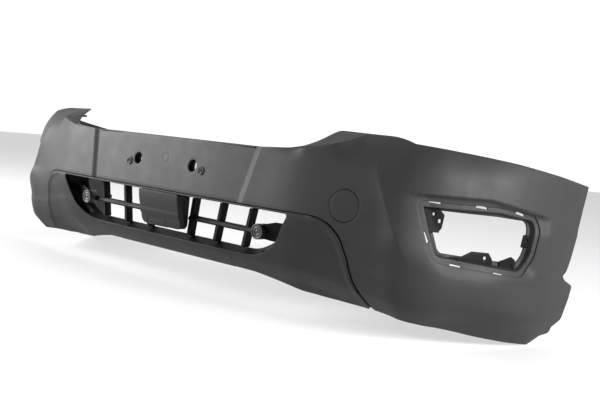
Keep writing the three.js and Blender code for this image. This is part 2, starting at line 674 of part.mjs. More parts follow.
// The part's origin is the middle of the top flange's upper face.
const body = new THREE.Group();
body.position.set(0, -(TOP_FLANGE.front + TOP_FLANGE.back) / 2, -TOP_FLANGE.top);
assembly.add(body);

place('upper_cover', upperCover(), PAINTED, body);
place('lower_valance', lowerValance(), VALANCE, body);
place('grille_frame', grilleFrame(), BLACK, body);
SLATS.forEach((ends, i) => place(`grille_slat_${i + 1}`, grilleSlat(ends), BLACK, body));
place('sensor_cover', sensorCover(), VALANCE, body);
place('sensor_hatch', sensorHatch(), FIXING, body);
place('tow_eye_cover', towEyeCover(), PAINTED, body);

for (const [word, sign] of [['left', 1], ['right', -1]]) {
  place(`grille_blade_${word}`, grilleBlade(sign), BLACK, body);
  place(`grille_post_${word}`, grillePost(sign), BLACK, body);
  place(`plate_anchor_${word}`, plateAnchor(sign * ANCHOR.x), FIXING, body);
  place(`side_rail_${word}`, sideRail(sign), BLACK, body);
  place(`headlamp_tab_${word}`, headlampTab(sign), BLACK, body);
  for (const [where, bracket] of Object.entries(FOG_BRACKETS)) {
    place(`fog_bracket_${where}_${word}`, fogBracket(bracket, sign), BLACK, body);
  }
}

export default assembly;
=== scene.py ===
"""Front bumper cover: fine skins, grille insert, fog-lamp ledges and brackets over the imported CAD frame."""
import math
import bmesh
import bpy
import numpy as np
from mathutils import Matrix, Vector
from mathutils.geometry import delaunay_2d_cdt


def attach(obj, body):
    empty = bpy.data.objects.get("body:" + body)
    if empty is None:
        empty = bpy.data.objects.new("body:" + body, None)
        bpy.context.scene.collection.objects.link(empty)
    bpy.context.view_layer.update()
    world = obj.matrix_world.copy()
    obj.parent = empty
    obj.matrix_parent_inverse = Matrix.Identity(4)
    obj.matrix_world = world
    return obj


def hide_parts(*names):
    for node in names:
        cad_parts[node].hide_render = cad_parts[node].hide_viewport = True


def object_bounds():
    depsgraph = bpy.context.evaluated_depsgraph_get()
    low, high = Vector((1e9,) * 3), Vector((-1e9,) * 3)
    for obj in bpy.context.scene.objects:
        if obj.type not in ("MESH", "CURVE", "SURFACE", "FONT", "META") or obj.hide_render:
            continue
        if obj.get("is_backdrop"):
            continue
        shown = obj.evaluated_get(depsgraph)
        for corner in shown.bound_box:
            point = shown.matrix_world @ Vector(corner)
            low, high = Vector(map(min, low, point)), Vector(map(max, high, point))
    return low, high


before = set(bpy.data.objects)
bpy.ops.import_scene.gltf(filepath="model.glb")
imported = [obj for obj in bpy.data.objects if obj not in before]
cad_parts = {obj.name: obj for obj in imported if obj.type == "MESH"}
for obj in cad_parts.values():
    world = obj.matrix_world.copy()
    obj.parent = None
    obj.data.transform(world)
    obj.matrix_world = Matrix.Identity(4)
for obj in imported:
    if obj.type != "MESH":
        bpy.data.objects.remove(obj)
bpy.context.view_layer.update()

# ---------- driving dimensions, in millimetres from the middle of the plate panel ----------
# Most outlines lie on the skin: s runs along it from the centre line, z is up, and a third value is the
# radius of a corner. Depths are measured back from the skin's face.
MM = 0.001
ORIGIN = np.array([0.0, 38.0, 71.0])     # the top flange's centre, which is the frame's origin
WALL = 3.2
GAP = 0.35
SEAM_GROOVE = (1.3, 3.6)                 # width of the groove along the seam, in front and at the side
SEAM_BEAD, BEAD_RISE, BEAD_FALL = 3.5, (24, 7), (6, 0)   # bead below the seam: height, and where it slopes
SEAM_CORNER = (515, 560)                 # where the seam turns down and the bead begins
GRID = 7.0                               # spacing of the skins' mesh points
EDGE = 4.0                               # spacing along their edges
ROUND = 1.0                              # radius of a moulded edge
BELT_Z = -80
BELT = [(0, -18), (170, -17.5), (330, -11), (478, -4.7), (592, 18.9), (700, 48.4), (770, 66.5), (828, 114),
        (866, 190), (905, 300), (925, 430), (936, 580), (942, 760)]

TOP_EDGE = [(0, 71), (348, 71), (447, 77), (484, 85), (518, 103), (549, 131), (638, 129), (711, 128),
            (731, 123), (763, 116), (900, 109), (997, 101), (1109, 91), (1280, 71), (1437, 49)]
SEAM = [(0, -76), (260, -76), (518, -76), (549, -76.5), (575, -81), (600, -93), (626, -118), (645, -165),
        (661, -218), (706, -284)]
SILL_EDGE = [(706, -284), (911, -307), (1025, -329), (1150, -349), (1229, -359)]
VALANCE_EDGE = [(0, -252), (160, -252), (320, -256), (390, -267), (463, -281), (560, -285), (700, -284)]
REAR_EDGE = [(1229, -359, 8), (1285, -341, 30), (1326, -338, 8), (1329, -317, 12), (1358, -300, 40),
             (1400, -240, 40), (1412, -217, 11), (1352, -195, 12), (1367, -143, 80), (1377, -69, 80),
             (1405, -12, 120), (1437, 49, 4)]

# How the skin leaves the belt line, in front, at the corner and at the side: back per mm of height above it,
# back by the shoulder's roll at the top, and back per mm below it.
CORNER_SPAN, SIDE_SPAN = (500, 820), (900, 1250)
LEAN = (0.13, 0.08, 0.1)
SHOULDER_ROLL = (60, 18, 20)
TURN_UNDER = (0.041, -0.312, 0.1)
CORNER_CURVE, CORNER_CURVE_START = 0.0015, 60
UNDER_CURVE = 0.00254
SHOULDER_SPAN, SHOULDER_START, SHOULDER_HEIGHT = (380, 520), 40, 80

PANEL_RECESS = 7
BAND_OUTER = 344
BAND_INNER = 322
BAND_LEAN = 0.22
WING_CHAMFER = [(440, 76), (519, 84), (561, 92), (600, 104), (640, 130)]
CHAMFER_SPAN = (440, 500, 570, 640)      # where it starts, is full, still is full, and has ended
# The side is drawn in, by up to this share of the way, to a point ahead of the corner.
FLARE_CENTRE = np.array([1814.0, -1484.0, 101.0])
FLARE_SHARE = 0.052
FLARE_ALONG, FLARE_UP = (800, 1400), (-420, -260)
# Crease between the front and the side, as (z, s), and the facet behind it. Both fade out up and down.
CORNER_CREASE = [(-151, 792), (-104, 768), (-31, 732), (44, 698), (91, 689)]
FACET_RIDGE, FACET_HOLLOW, FACET_END = 10, 9, 930
FACET_BLEND = 50                         # distance over which the ridge rises in front of the crease
FACET_TOP, FACET_FOOT = (125, 0), (-175, -100)
# Recess round the fog-lamp opening: its edges, and over what distance each of them slopes.
POCKET_DEPTH = 13
POCKET_TOP = [(690, 8), (790, 6), (1000, 4), (1238, -34)]
POCKET_FLOOR = [(792, -180), (1216, -200)]
POCKET_REAR = [(-200, 1214), (-34, 1242)]
POCKET_SLOPES = (13, 110, 42, 50)        # top, front, floor, rear
FOG_LIP = [(800, -10, 14), (1050, -14, 250), (1206, -34, 40), (1184, -188, 68), (848, -144, 32)]
FOG_CLEAR = [(838, -29, 10), (1050, -37, 250), (1177, -47, 22), (1163, -152, 38), (872, -125, 20)]
LIP_WIDTH, LIP_DEPTH, LIP_WALL = 13, 3.5, 2.6
LEDGE_DEPTH = 21

INTAKE = [(-480, -82, 6), (480, -82, 6), (434, -166, 100),
          (360, -207, 150), (-360, -207, 150), (-434, -166, 100)]
DUCT_BACK = [(-437, -90, 6), (437, -90, 6), (404, -162, 80),
             (340, -193, 110), (-340, -193, 110), (-404, -162, 80)]
DUCT_START, DUCT_END_Y = WALL + 1.2, 56  # depth of its flange, and the y where its walls end
HOLLOW_DEPTH, HOLLOW_X = 14, (372, 385)
# Uprights, as x at the top and at the foot, crosswise blades, and a round post at each end of the grille.
SLATS = [(-322, -302), (-211, -194), (-100, -88), (100, 88), (211, 194), (322, 302)]
SLAT_FRONT, SLAT_BACK = 31, 54
SLAT_HALF = 6.5
SLAT_TOP, SLAT_FOOT, SLAT_FOOT_OUTER = -88.5, -194, -191.5
BLADE_ENDS = (87, 352)
BLADE = [(28.5, -149.5), (27.6, -147.5), (27.8, -145.5), (32.5, -137.8), (34, -137), (46, -137), (46, -140),
         (36, -141), (33, -147), (33.5, -151), (30, -151)]     # section, as (y, z)
POST = (370, -141, 20)                   # x, z and radius
POST_BACK = 40
ARM_END, ARM_WALL = 437, 4
ARM_RIBS = (-128, -141, -154)
SENSOR = [(-85, -83, 3), (85, -83, 3), (85, -180, 16), (-85, -180, 16)]
SENSOR_BACK_Y = 30
HATCH = [(-57, -160, 2), (25, -160, 2), (25, -177, 2), (-57, -177, 2)]

# Round places, as s, z and radius, and flanges, as half length, front y, back y and z of the upper face.
TOW = (627, -44, 37.5)
TOW_GAP = 1.2
PLATE_HOLE = (118, 0, 16.5)
ANCHOR = (154.7, -9.5, 11.5)
PLATE_MARK = (0, 14, 13.5)
TOP_FLANGE = (330, 10, 62, 71)
SILL_FLANGE = (250, 66, 104, -250.5)
FLANGE_WALL = 3.6

RAIL = ((961, 102.89), (1368, 58.02))    # the side rail's ends, as (s, z)
TAB_FOOT = (557, 623, 107)
TAB_MIDDLE, TAB_HALF = 574.3, 15.8
TAB = [(63, 101.2), (115, 101.2), (115, 107.9), (81, 107.9), (80, 104), (63, 104)]     # section, as (y, z)

# Crease above which the skin stays full and below which it turns under: its line, and how far it stands
# proud, fades out above and below, and is rounded. Soft folds, as from, to, depth and radius.
SILL_CREASE = [(0, -216), (500, -216), (622, -232), (685, -246), (1007, -254), (1169, -279), (1330, -300)]
CREASE_RISE, CREASE_ABOVE, CREASE_BELOW = 13, 80, 46
CREASE_ROUND = 0.05
FOLDS = [((1268, -190), (1350, -186), 6, 9), ((1180, -315), (1320, -320), 4, 8),
         ((1119, 52), (1267, 38), 3, 24)]

# Clip slots in the fog-lamp lip: the ends of each as (s, z), half their width and the slant of their ends.
SLOTS = [((832, -9.5), (868, -12.5)), ((966, -14), (1001, -17.5)), ((1102, -23.5), (1138, -30.5)),
         ((824.5, -78), (836.5, -104)), ((897, -149.5), (931, -155)), ((1028, -168), (1066, -174)),
         ((1184, -114), (1169, -142))]
SLOT_HALF, SLOT_SLANT = 2.6, 3

# Fog-lamp brackets behind the ledge: outlines of flat plates, and leaning facets as (s, z, depth).
BRACKET_DEPTH, CUP_DEPTH, BRACKET_WALL = 14.5, 13.5, 2.6
UPPER_BRACKET = [(812, -22, 3), (866, -20, 3), (889, -40, 4), (882, -71, 3), (873, -79, 2), (824, -64, 3)]
LOWER_BRACKET = [(905, -133, 3), (938, -131, 3), (968, -119, 3), (1022, -122, 5), (1036, -137, 3),
                 (1040, -158, 4), (940, -152, 3), (912, -149, 4)]
CUP = [(1062, -142, 4), (1112, -132, 6), (1132, -140, 8), (1137, -160, 8), (1120, -168, 6), (1070, -160, 4)]
OUTER_BRACKET = [(1156, -78, 3), (1190, -82, 5), (1188, -112, 6), (1150, -110, 4)]
UPPER_FACET = [(822, -64, 12), (872, -66, 14), (873, -80, 11), (828, -78, 8)]
TRAY_FACET = [(948, -145, 9), (1104, -157, 9), (1104, -168, 8), (948, -157, 8)]
SHELF_FACET = [(948, -144, 18), (1104, -156, 18), (1104, -157.5, 9), (948, -145.5, 9)]

# Photograph's camera: its place from the same zero point, and its direction, tilt and roll in degrees.
CAMERA_AT = (1813.9, -1484.3, 101.4)
CAMERA_AZIMUTH = 41.26
CAMERA_DOWN = 4.21
CAMERA_ROLL = 5.68
LENS = 50

# Studio, in metres and watts: each lamp's name, place, aim, size and power, the walls' brightness from the
# camera's side to the far one, and the pale floor.
LAMPS = [("key", (-3.8, -2.4, 1.1), (0, 0.1, -0.2), (2.6, 2.0), 400),
         ("side", (3.7, 0.2, 1.0), (0.9, 0.25, -0.1), (1.2, 1.2), 230)]
WALLS_TOWARDS = (-0.66, 0.75, 0.0)
WALLS_BRIGHTNESS = [(0.0, 0.08), (0.5, 1.1)]
FLOOR_HALF, FLOOR_TONE, FLOOR_GLOW = 14, 0.42, 0.42


# ---------- the skin's surface ----------
def smooth(low, high, value):
    """Smooth step from 0 at low to 1 at high."""
    t = np.clip((value - low) / (high - low), 0, 1)
    return t * t * (3 - 2 * t)


def catmull(points, samples):
    """Catmull-Rom curve through the points, with as many samples in each span."""
    p = np.array(points, float)
    rows = []
    for i in range(len(p) - 1):
        p0, p1, p2, p3 = p[max(i - 1, 0)], p[i], p[i + 1], p[min(i + 2, len(p) - 1)]
        t = np.linspace(0, 1, samples, endpoint=False)[:, None]
        rows.append(0.5 * (2 * p1 + (p2 - p0) * t + (2 * p0 - 5 * p1 + 4 * p2 - p3) * t ** 2
                           + (3 * p1 - p0 - 3 * p2 + p3) * t ** 3))
    return np.vstack(rows + [p[-1:]])


def lengths(path):
    """Distance along a path from its start to each of its points."""
    return np.concatenate([[0], np.cumsum(np.linalg.norm(np.diff(path, axis=0), axis=1))])


def belt_line():
    """Distances along the belt line from the centre line, with its points and directions there."""
    both_sides = [(-x, y) for x, y in BELT[:0:-1]] + BELT
    curve = catmull(both_sides, 120)
    length = lengths(curve)
    s = length - length[-1] / 2
    tangent = np.gradient(curve, s, axis=0)
    return s, curve, tangent


BELT_S, BELT_CURVE, BELT_TANGENT = belt_line()


def plan(s):
    """Point and outward normal of the belt line at the distance s from the centre line."""
    x, y = (np.interp(s, BELT_S, BELT_CURVE[:, k]) for k in (0, 1))
    tx, ty = (np.interp(s, BELT_S, BELT_TANGENT[:, k]) for k in (0, 1))
    length = np.hypot(tx, ty)
    return x, y, ty / length, -tx / length


def along(table, at):
    """A table's second value at places along its first."""
    return np.interp(at, *np.array(table, float)[:, :2].T)


def shoulder_share(a, z):
    """Share of the shoulder's roll at (a, z): round, but a plane above the wing's chamfer crease."""
    def round_roll(height):
        return np.maximum(0, (height - SHOULDER_START) / SHOULDER_HEIGHT) ** 2

    crease_z, top = along(WING_CHAMFER, a), along(TOP_EDGE, a)
    plane = round_roll(top) * np.clip((z - crease_z) / np.maximum(4, top - crease_z), 0, 1)
    chamfered = smooth(*CHAMFER_SPAN[:2], a) * (1 - smooth(*CHAMFER_SPAN[2:], a))
    return round_roll(z) * (1 - chamfered) + plane * chamfered


def setback(s, z):
    """How far the skin stands back from the belt line at (s, z)."""
    a = np.abs(s)
    corner = smooth(*CORNER_SPAN, a)
    side = smooth(*SIDE_SPAN, a)
    up, down = np.maximum(0, z - BELT_Z), np.maximum(0, BELT_Z - z)

    def blend(front, bend, flank):
        return front * (1 - corner) + corner * (bend * (1 - side) + flank * side)

    roll = smooth(*SHOULDER_SPAN, a) * blend(*SHOULDER_ROLL) * shoulder_share(a, z)
    lean = blend(*LEAN) * up + blend(0, CORNER_CURVE, 0) * np.maximum(0, up - CORNER_CURVE_START) ** 2
    return lean + roll + blend(*TURN_UNDER) * down + UNDER_CURVE * (1 - side) * down ** 2


def segments(loop):
    """Ends of a closed loop's segments."""
    return loop, np.roll(loop, -1, axis=0)


def edge_distance(loop, points):
    """Distance from each point to the closed loop."""
    start, end = segments(loop)
    nearest = np.full(len(points), 1e9)
    for a, b in zip(start, end):
        d = b - a
        t = np.clip(((points - a) @ d) / max(d @ d, 1e-9), 0, 1)
        nearest = np.minimum(nearest, np.hypot(*(points - a - t[:, None] * d).T))
    return nearest


def path_distance(path, points):
    """Distance from each point to the open path."""
    path = np.array(path, float)
    return edge_distance(np.vstack([path, path[-2:0:-1]]), points)


def inside(loop, points):
    """Which of the points lie inside the closed loop."""
    start, end = segments(loop)
    hit = np.zeros(len(points), bool)
    for (s0, z0), (s1, z1) in zip(start, end):
        crosses = (z0 > points[:, 1]) != (z1 > points[:, 1])
        if z0 != z1:
            hit ^= crosses & (points[:, 0] < s0 + (points[:, 1] - z0) * (s1 - s0) / (z1 - z0))
    return hit


def corner_arc(before, here, after, radius, steps):
    """Points of the arc that rounds a corner between its two neighbours."""
    back, ahead = before - here, after - here
    back_length, ahead_length = np.linalg.norm(back), np.linalg.norm(ahead)
    half = math.acos(np.clip(back @ ahead / (back_length * ahead_length), -1, 1)) / 2
    reach = min(radius / math.tan(half), back_length * 0.45, ahead_length * 0.45)
    start, end = here + back / back_length * reach, here + ahead / ahead_length * reach
    points = []
    for t in np.linspace(0, 1, steps + 1):
        w = np.array([(1 - t) ** 2, 2 * t * (1 - t) * math.sin(half), t * t])
        points.append((w[0] * start + w[1] * here + w[2] * end) / w.sum())
    return points


def rounded(corners, steps=8, grow=0.0, closed=True, spacing=EDGE):
    """Outline with its corners (s, z, radius) rounded and its sides cut into short steps."""
    c = grown(np.array(corners, float), grow) if grow else np.array(corners, float)
    count = len(c)
    arcs = []
    for i in range(count):
        is_end = not closed and i in (0, count - 1)
        here, after = c[i, :2], c[(i + 1) % count, :2]
        arcs.append([here] if is_end else corner_arc(c[i - 1, :2], here, after, c[i, 2], steps))
    points = []
    for i, arc in enumerate(arcs):
        points += arc
        if closed or i + 1 < count:
            start, end = arc[-1], arcs[(i + 1) % count][0]
            pieces = max(1, int(round(np.linalg.norm(end - start) / spacing)))
            points += [start + (end - start) * k / pieces for k in range(1, pieces)]
    return np.array(points)


def grown(c, grow):
    """A clockwise outline's corners moved so that every side lies further out by the same distance."""
    before = c[:, :2] - np.roll(c, 1, axis=0)[:, :2]
    after = np.roll(c, -1, axis=0)[:, :2] - c[:, :2]
    before /= np.linalg.norm(before, axis=1)[:, None]
    after /= np.linalg.norm(after, axis=1)[:, None]
    total = np.stack([-before[:, 1] - after[:, 1], before[:, 0] + after[:, 0]], 1)
    stretch = 2 * grow / np.maximum(0.2, (total ** 2).sum(1))
    return np.column_stack([c[:, :2] + total * stretch[:, None], np.maximum(1, c[:, 2] + grow)])


def circle(s, z, radius, count=48):
    """Points round a circle on the skin, clockwise."""
    t = -2 * np.pi * np.arange(count) / count
    return np.stack([s + radius * np.cos(t), z + radius * np.sin(t)], 1)


def relief(s, z):
    """Depth of the moulded-in features at (s, z)."""
    a = np.abs(s)
    from_band = (BAND_OUTER + BAND_LEAN * z - a) / (BAND_OUTER - BAND_INNER)
    panel = np.where(z > SEAM[0][1] - 1.5, 1, 0) * PANEL_RECESS * smooth(0, 1, from_band)
    return panel + facet(a, z) + pocket(a, z) + crease(a, z) + folds(np.stack([a, z], 1))


def facet(a, z):
    """The corner's crease stands proud of the round belt line, with a nearly flat facet behind it."""
    behind = a - along(CORNER_CREASE, z)
    share = np.clip(behind / (FACET_END - along(CORNER_CREASE, z)), 0, 1)
    ridge = np.where(behind < 0, np.exp(-np.abs(behind) / FACET_BLEND), 1 - share)
    hollow = FACET_HOLLOW * 4 * share * (1 - share)
    return (hollow - FACET_RIDGE * ridge) * smooth(*FACET_TOP, z) * smooth(*FACET_FOOT, z)


def pocket(a, z):
    """Recess round the fog-lamp opening, which starts at the corner's crease and deepens from there."""
    top, front, low, rear = POCKET_SLOPES
    shares = [(along(POCKET_TOP, a) - z) / top, (a - along(CORNER_CREASE, z)) / front,
              (z - along(POCKET_FLOOR, a)) / low, (along(POCKET_REAR, z) - a) / rear]
    drop, ramp, floor_share, rear_share = (np.clip(share, 0, 1) for share in shares)
    depth = POCKET_DEPTH * (1 - (1 - drop) ** 2) * ramp ** 1.5
    return depth * smooth(0, 1, floor_share) * smooth(0, 1, rear_share)


def crease(a, z):
    """Fullness along the sill crease: a rounded ridge that fades out above it and below it."""
    rise = z - along(SILL_CREASE, a)
    away = np.where(rise > 0, rise / CREASE_ABOVE, -rise / CREASE_BELOW)
    away = np.sqrt(away ** 2 + CREASE_ROUND ** 2)
    return -CREASE_RISE * np.clip(1 - away, 0, 1) * smooth(0, 0.35, 1 - away)


def folds(points):
    """Depth of the soft folds, which deepen from their start to their end."""
    total = np.zeros(len(points))
    for start, end, depth, radius in FOLDS:
        run = np.array(end, float) - start
        t = np.clip((points - start) @ run / (run @ run), 0, 1)
        away = np.hypot(*(points - start - t[:, None] * run).T)
        total += depth * np.exp(-(away / radius) ** 2) * t ** 0.7
    return total


def on_skin(loop, depth=0.0):
    """Points in the part's frame, in metres, at a depth behind the skin."""
    loop = np.asarray(loop, float)
    s, z = loop[:, 0], loop[:, 1]
    x, y, nx, ny = plan(s)
    back = setback(s, z) + relief(s, z) + depth
    points = np.stack([x - nx * back, y - ny * back, z], 1)
    share = FLARE_SHARE * smooth(*FLARE_ALONG, np.abs(s)) * smooth(*FLARE_UP, z)
    centre = FLARE_CENTRE * np.stack([np.sign(s), np.ones(len(s)), np.ones(len(s))], 1)
    return (points + (centre - points) * share[:, None] - ORIGIN) * MM


def placed(points):
    """Points given as (x, y, z) in millimetres, in the part's frame and in metres."""
    return (np.asarray(points, float) - ORIGIN) * MM


# ---------- meshes ----------
def new_piece(name, points, faces):
    """A smooth-shaded object, its faces turned outwards."""
    mesh = bpy.data.meshes.new(name)
    mesh.from_pydata([tuple(p) for p in points], [], [tuple(int(i) for i in f) for f in faces])
    bm = bmesh.new()
    bm.from_mesh(mesh)
    bmesh.ops.recalc_face_normals(bm, faces=bm.faces)
    bm.to_mesh(mesh)
    bm.free()
    mesh.shade_smooth()
    piece = bpy.data.objects.new(name, mesh)
    bpy.context.collection.objects.link(piece)
    return piece


def inset(loop, distance, outer):
    """The loop moved into the plate: inwards for an outer edge, outwards for a hole's."""
    ahead = np.roll(loop, -1, axis=0) - np.roll(loop, 1, axis=0)
    ahead /= np.maximum(np.linalg.norm(ahead, axis=1), 1e-9)[:, None]
    left = np.stack([-ahead[:, 1], ahead[:, 0]], 1)
    area = 0.5 * np.sum(loop[:, 0] * np.roll(loop[:, 1], -1) - np.roll(loop[:, 0], -1) * loop[:, 1])
    sign = 1 if (area > 0) == outer else -1
    return loop + sign * left * distance


def between(rims, points):
    """Which of the points lie inside the first rim and outside the others."""
    hit = inside(rims[0], points)
    for rim in rims[1:]:
        hit &= ~inside(rim, points)
    return hit


def inner_points(outer, rims, spacing, lines):
    """A plate's mesh points: a staggered grid and the extra lines, kept a little way off its rims."""
    low, high = outer.min(0), outer.max(0)
    gs, gz = np.meshgrid(np.arange(low[0], high[0], spacing), np.arange(low[1], high[1], spacing))
    gs = gs + (np.arange(len(gs)) % 2)[:, None] * spacing / 2
    grid = np.vstack([np.stack([gs.ravel(), gz.ravel()], 1), *lines])
    keep = between(rims, grid)
    for rim in rims:
        keep &= edge_distance(rim, grid) > spacing * 0.45
    return grid[keep]


def triangulated(rims, grid):
    """Flat points and triangles between the rims, and each rim point's number among the points."""
    edges, start = [], 0
    for rim in rims:
        edges += [(start + k, start + (k + 1) % len(rim)) for k in range(len(rim))]
        start += len(rim)
    flat = [Vector(point) for point in np.vstack(rims + [grid])]
    points, _, faces, sources, *_ = delaunay_2d_cdt(flat, edges, [], 0, 1e-4, True)
    points = np.array([tuple(point) for point in points])
    triangles = np.array([face for face in faces if len(face) == 3])
    triangles = triangles[between(rims, points[triangles].mean(1))]
    return points, triangles, {source: i for i, merged in enumerate(sources) for source in merged}


def skin_plate(outer, holes=(), depth=0.0, wall=WALL, spacing=GRID, lines=(), surface=on_skin, radius=ROUND):
    """Points and faces of a plate that follows the skin, its edges rounded front and back."""
    loops = [np.asarray(loop, float) for loop in (outer, *holes)]
    rims = [inset(loop, radius, i == 0) for i, loop in enumerate(loops)]
    flat, triangles, number_of = triangulated(rims, inner_points(loops[0], rims, spacing, lines))
    count = len(flat)
    points = [surface(flat, depth), surface(flat, depth + wall)]
    faces = [tuple(t) for t in triangles] + [tuple(t[::-1] + count) for t in triangles]
    total, start = 2 * count, 0
    for i, loop in enumerate(loops):
        front = np.array([number_of[start + k] for k in range(len(loop))])
        start += len(loop)
        rows = [front]
        for inward, deep in rim_profile(radius, wall):
            points.append(surface(inset(loop, inward, i == 0), depth + deep))
            rows.append(total + np.arange(len(loop)))
            total += len(loop)
        faces += strips(rows + [front + count])
    return np.vstack(points), faces


def rim_profile(radius, wall):
    """Inset and depth of the rows that round a plate's edge, from its front to its back."""
    turns = (0.5, 1.05, math.pi / 2)
    front = [(radius * (1 - math.sin(turn)), radius * (1 - math.cos(turn))) for turn in turns]
    return front + [(inward, wall - deep) for inward, deep in front[::-1]]


def strips(rows, closed=True):
    """Quads between rows of vertex numbers."""
    faces = []
    for a, b in zip(rows, rows[1:]):
        n = len(a) if closed else len(a) - 1
        faces += [(a[k], a[(k + 1) % n if closed else k + 1], b[(k + 1) % n if closed else k + 1], b[k])
                  for k in range(n)]
    return faces


def numbered(loops):
    """Vertex numbers of equal-length rows of points that follow one another."""
    n = len(loops[0])
    return [np.arange(n) + k * n for k in range(len(loops))]


def sleeve(loops):
    """A ring-shaped body through equal-length loops, the last one joined to the first."""
    rows = numbered(loops)
    return np.vstack(loops), strips(rows + [rows[0]])


def profile(loops):
    """A long body through equal-length rows of points, its two ends capped."""
    rows = numbered(loops)
    faces = strips(rows + [rows[0]], closed=False)
    faces += [tuple(row[0] for row in rows), tuple(row[-1] for row in rows)[::-1]]
    return np.vstack(loops), faces


def prism(near, far):
    """Points and faces between two outlines, with square edges."""
    n = len(near)
    faces = [tuple(range(n))[::-1], tuple(range(n, 2 * n))]
    faces += [(k, (k + 1) % n, n + (k + 1) % n, n + k) for k in range(n)]
    return np.vstack([near, far]), faces


def crosswise(section, start, end):
    """A prism along x: its section as (y, z), and the x where it starts and ends."""
    near, far = (placed([(x, y, z) for y, z in section]) for x in (start, end))
    return prism(near, far)


def bevelled(piece, width=0.8, segments=2):
    """The piece with its square edges rounded, over a width in millimetres."""
    modifier = piece.modifiers.new("edges", "BEVEL")
    modifier.width = width * MM
    modifier.segments = segments
    modifier.limit_method = "ANGLE"
    modifier.angle_limit = math.radians(30)
    modifier.harden_normals = True
    return piece


def finish_piece(piece, material, slot, body, *nodes):
    """The piece with its material and body, in place of the CAD's nodes. The slot argument is not used."""
    piece.data.materials.append(material)
    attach(piece, body)
    if nodes:
        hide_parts(*nodes)
    return piece


# ---------- materials ----------
GRAIN_DEPTH = 0.0006                     # metres


def plastic(name, colour, light, rough, grain=900.0, bump=0.06, mottling=6.0, specular=0.2):
    """Moulded plastic: two close tones, fine grain in the bump, and uneven gloss."""
    material = bpy.data.materials.new(name)
    material.use_nodes = True
    nodes, links = material.node_tree.nodes, material.node_tree.links
    shader = nodes["Principled BSDF"]
    place = nodes.new("ShaderNodeTexCoord")

    def noise(scale, detail, roughness=0.55):
        node = nodes.new("ShaderNodeTexNoise")
        node.inputs["Scale"].default_value = scale
        node.inputs["Detail"].default_value = detail
        node.inputs["Roughness"].default_value = roughness
        links.new(place.outputs["Object"], node.inputs["Vector"])
        return node.outputs["Fac"]

    def ramp(source, stops):
        node = nodes.new("ShaderNodeValToRGB")
        for element, (at, value) in zip(node.color_ramp.elements, stops):
            element.position = at
            element.color = value
        links.new(source, node.inputs["Fac"])
        return node.outputs["Color"]

    tone = ramp(noise(mottling, 5.0), [(0.35, (*colour, 1)), (0.7, (*light, 1))])
    links.new(tone, shader.inputs["Base Color"])
    smoothest, roughest = ((value, value, value, 1) for value in rough)
    gloss = ramp(noise(mottling * 3, 6.0, 0.65), [(0.3, smoothest), (0.75, roughest)])
    links.new(gloss, shader.inputs["Roughness"])
    height = nodes.new("ShaderNodeBump")
    height.inputs["Strength"].default_value = bump
    height.inputs["Distance"].default_value = GRAIN_DEPTH
    links.new(noise(grain, 3.0), height.inputs["Height"])
    links.new(height.outputs["Normal"], shader.inputs["Normal"])
    shader.inputs["IOR"].default_value = 1.47
    shader.inputs["Specular IOR Level"].default_value = specular
    return material


PRIMED = plastic("primed_cover", (0.023, 0.023, 0.0235), (0.026, 0.026, 0.0265), (0.50, 0.58))
# Valance plastic is toned darker than the primed cover: painted shade for the valance's underside, carried to
# every piece made of it.
VALANCE = plastic("valance_plastic", (0.017, 0.017, 0.0175), (0.020, 0.020, 0.0205), (0.50, 0.60), bump=0.10)
BLACK = plastic("black_plastic", (0.003, 0.003, 0.0032), (0.005, 0.005, 0.0053), (0.48, 0.62), bump=0.15,
                specular=0.1)
FIXING = plastic("fixing_plastic", (0.028, 0.028, 0.029), (0.040, 0.040, 0.041), (0.38, 0.52), specular=0.3)


# ---------- upper cover ----------
def resampled(points, spacing=EDGE, blur=12.0):
    """The points' polyline in even steps, with its kinks blurred over the given distance."""
    line = np.array(points, float)
    length = lengths(line)
    at = np.linspace(0, length[-1], max(2, int(length[-1] / spacing) + 1))
    steps = np.linspace(-2, 2, 33)
    weights = np.exp(-steps ** 2)
    reach = np.minimum(1, np.minimum(at, length[-1] - at) / (2 * blur))
    shifts = at[:, None] + steps * blur * reach[:, None]
    weights /= weights.sum()
    return np.stack([(np.interp(shifts, length, line[:, k]) * weights).sum(1) for k in (0, 1)], 1)


def mirrored(loop, sign):
    """The loop on the vehicle's left for a sign of 1, on its right for -1."""
    return loop * [sign, 1]


def both_halves(right):
    """A right-hand edge from the centre line round to it again, closed over the left side."""
    loop = np.vstack([right, mirrored(right, -1)[::-1]])
    apart = np.linalg.norm(loop - np.roll(loop, 1, axis=0), axis=1) > 0.05
    return loop[apart]


def cover_outline():
    """Edge of the upper cover: the seam, the sill, the rear edge and the top."""
    seam = resampled(SEAM) + [0, GAP]
    sill = resampled(SILL_EDGE)[1:-1]
    rear = rounded(REAR_EDGE, closed=False)
    top = resampled(TOP_EDGE)[::-1][1:]
    return both_halves(np.vstack([seam, sill, rear, top]))


def left_of(path):
    """Unit vectors to the left of an open path, point by point."""
    ahead = np.gradient(path, axis=0)
    ahead /= np.linalg.norm(ahead, axis=1)[:, None]
    return np.stack([-ahead[:, 1], ahead[:, 0]], 1)


def beside(path, offsets):
    """Lines of extra mesh points along a path and its mirror image, at offsets to the path's left."""
    line = resampled(path, 5, 1)
    left = left_of(line)
    return [mirrored(line + left * offset, sign) for offset in offsets for sign in (1, -1)]


def feature_lines():
    """Extra mesh points where the skin bends quickly: bands, wing chamfers, corner creases and pockets."""
    rows = []
    for edge in (BAND_INNER, BAND_OUTER):
        rows += beside([(edge + BAND_LEAN * z, z) for z in (-74, 78)], (-6, -3, 0, 3, 6))
    rows += beside(WING_CHAMFER, (-3, 0, 3))
    rows += beside([(s, z) for z, s in CORNER_CREASE], (-3, 0, 3))
    return rows + beside(POCKET_TOP[1:], (-15, -11, -7, -3, 0, 3))


